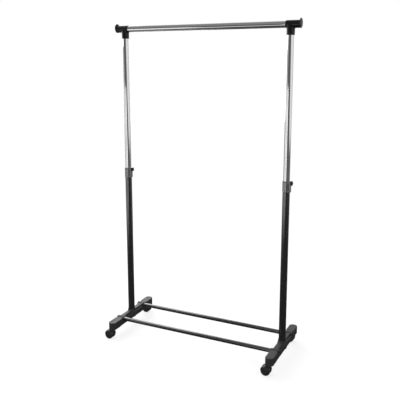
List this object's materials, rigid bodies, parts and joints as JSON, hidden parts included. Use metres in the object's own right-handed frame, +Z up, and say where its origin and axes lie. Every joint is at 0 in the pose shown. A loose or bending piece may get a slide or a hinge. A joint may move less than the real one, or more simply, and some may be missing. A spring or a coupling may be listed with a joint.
{
  "type": "rolling clothes rack",
  "caption": "Telescoping single-rail clothes rack: chrome rail on two height-adjustable uprights, with a black wheeled base of two foot bars and two rods.",
  "frame": {"origin": "on the floor, midway between the two uprights and the front and rear castors", "axes": "+Z up, +X along the hanging rail to the right, +Y to the rear"},
  "size_m": [0.893, 0.3836, 1.4961],
  "materials": {
    "powder_coat": "satin black powder coat on steel tube",
    "chrome_tube": "polished chrome plate on steel tube",
    "foot_plastic": "fine matt moulded black plastic",
    "tee_plastic": "smooth moulded black plastic",
    "collar_plastic": "moulded dark grey plastic",
    "knob_plastic": "smooth moulded black plastic",
    "castor_plastic": "moulded black nylon",
    "wheel_plastic": "moulded black plastic wheel",
    "natural_nylon": "natural white nylon",
    "fastener_steel": "bright zinc plate"
  },
  "bodies": {
    "base": {"left_foot_bar": "foot_plastic", "left_upright_bolt": "fastener_steel", "left_upright_insert": "natural_nylon", "left_lower_upright": "powder_coat", "left_height_collar": "collar_plastic", "left_front_rod_screw": "fastener_steel", "left_front_rod_insert": "natural_nylon", "left_rear_rod_screw": "fastener_steel", "left_rear_rod_insert": "natural_nylon", "right_foot_bar": "foot_plastic", "right_upright_bolt": "fastener_steel", "right_upright_insert": "natural_nylon", "right_lower_upright": "powder_coat", "right_height_collar": "collar_plastic", "right_front_rod_screw": "fastener_steel", "right_front_rod_insert": "natural_nylon", "right_rear_rod_screw": "fastener_steel", "right_rear_rod_insert": "natural_nylon", "front_base_rod": "powder_coat", "rear_base_rod": "powder_coat", "front_left_castor_sleeve": "castor_plastic", "rear_left_castor_sleeve": "castor_plastic", "front_right_castor_sleeve": "castor_plastic", "rear_right_castor_sleeve": "castor_plastic"},
    "mast": {"hanging_rail": "chrome_tube", "left_tee_joint": "tee_plastic", "left_upper_upright": "chrome_tube", "left_guide_bush": "natural_nylon", "right_tee_joint": "tee_plastic", "right_upper_upright": "chrome_tube", "right_guide_bush": "natural_nylon"},
    "left_lock": {"left_lock_knob": "knob_plastic", "left_lock_screw": "fastener_steel"},
    "right_lock": {"right_lock_knob": "knob_plastic", "right_lock_screw": "fastener_steel"},
    "front_left_castor": {"front_left_castor_housing": "castor_plastic", "front_left_castor_stem": "fastener_steel", "front_left_castor_axle": "fastener_steel"},
    "front_left_castor_front_wheel": {"front_left_castor_front_wheel": "wheel_plastic"},
    "front_left_castor_rear_wheel": {"front_left_castor_rear_wheel": "wheel_plastic"},
    "rear_left_castor": {"rear_left_castor_housing": "castor_plastic", "rear_left_castor_stem": "fastener_steel", "rear_left_castor_axle": "fastener_steel"},
    "rear_left_castor_front_wheel": {"rear_left_castor_front_wheel": "wheel_plastic"},
    "rear_left_castor_rear_wheel": {"rear_left_castor_rear_wheel": "wheel_plastic"},
    "front_right_castor": {"front_right_castor_housing": "castor_plastic", "front_right_castor_stem": "fastener_steel", "front_right_castor_axle": "fastener_steel"},
    "front_right_castor_front_wheel": {"front_right_castor_front_wheel": "wheel_plastic"},
    "front_right_castor_rear_wheel": {"front_right_castor_rear_wheel": "wheel_plastic"},
    "rear_right_castor": {"rear_right_castor_housing": "castor_plastic", "rear_right_castor_stem": "fastener_steel", "rear_right_castor_axle": "fastener_steel"},
    "rear_right_castor_front_wheel": {"rear_right_castor_front_wheel": "wheel_plastic"},
    "rear_right_castor_rear_wheel": {"rear_right_castor_rear_wheel": "wheel_plastic"}
  },
  "joints": [
    {"name": "height_slide", "type": "slide", "parent": "base", "child": "mast", "axis": [0, 0, 1], "range_m": [-0.55, 0.11]},
    {"name": "left_lock_turn", "type": "hinge", "parent": "base", "child": "left_lock", "pos_m": [-0.4, 0, 0.809], "axis": [1, 0, 0], "range_deg": [0, 540]},
    {"name": "right_lock_turn", "type": "hinge", "parent": "base", "child": "right_lock", "pos_m": [0.4, 0, 0.809], "axis": [1, 0, 0], "range_deg": [0, 540]},
    {"name": "front_left_castor_swivel", "type": "hinge", "parent": "base", "child": "front_left_castor", "pos_m": [-0.4, -0.173, 0.03], "axis": [0, 0, 1], "continuous": true},
    {"name": "front_left_castor_front_wheel_roll", "type": "hinge", "parent": "front_left_castor", "child": "front_left_castor_front_wheel", "pos_m": [-0.414, -0.173, 0.021], "axis": [0, 1, 0], "continuous": true},
    {"name": "front_left_castor_rear_wheel_roll", "type": "hinge", "parent": "front_left_castor", "child": "front_left_castor_rear_wheel", "pos_m": [-0.414, -0.173, 0.021], "axis": [0, 1, 0], "continuous": true},
    {"name": "rear_left_castor_swivel", "type": "hinge", "parent": "base", "child": "rear_left_castor", "pos_m": [-0.4, 0.173, 0.03], "axis": [0, 0, 1], "continuous": true},
    {"name": "rear_left_castor_front_wheel_roll", "type": "hinge", "parent": "rear_left_castor", "child": "rear_left_castor_front_wheel", "pos_m": [-0.414, 0.173, 0.021], "axis": [0, 1, 0], "continuous": true},
    {"name": "rear_left_castor_rear_wheel_roll", "type": "hinge", "parent": "rear_left_castor", "child": "rear_left_castor_rear_wheel", "pos_m": [-0.414, 0.173, 0.021], "axis": [0, 1, 0], "continuous": true},
    {"name": "front_right_castor_swivel", "type": "hinge", "parent": "base", "child": "front_right_castor", "pos_m": [0.4, -0.173, 0.03], "axis": [0, 0, 1], "continuous": true},
    {"name": "front_right_castor_front_wheel_roll", "type": "hinge", "parent": "front_right_castor", "child": "front_right_castor_front_wheel", "pos_m": [0.386, -0.173, 0.021], "axis": [0, 1, 0], "continuous": true},
    {"name": "front_right_castor_rear_wheel_roll", "type": "hinge", "parent": "front_right_castor", "child": "front_right_castor_rear_wheel", "pos_m": [0.386, -0.173, 0.021], "axis": [0, 1, 0], "continuous": true},
    {"name": "rear_right_castor_swivel", "type": "hinge", "parent": "base", "child": "rear_right_castor", "pos_m": [0.4, 0.173, 0.03], "axis": [0, 0, 1], "continuous": true},
    {"name": "rear_right_castor_front_wheel_roll", "type": "hinge", "parent": "rear_right_castor", "child": "rear_right_castor_front_wheel", "pos_m": [0.386, 0.173, 0.021], "axis": [0, 1, 0], "continuous": true},
    {"name": "rear_right_castor_rear_wheel_roll", "type": "hinge", "parent": "rear_right_castor", "child": "rear_right_castor_rear_wheel", "pos_m": [0.386, 0.173, 0.021], "axis": [0, 1, 0], "continuous": true}
  ]
}
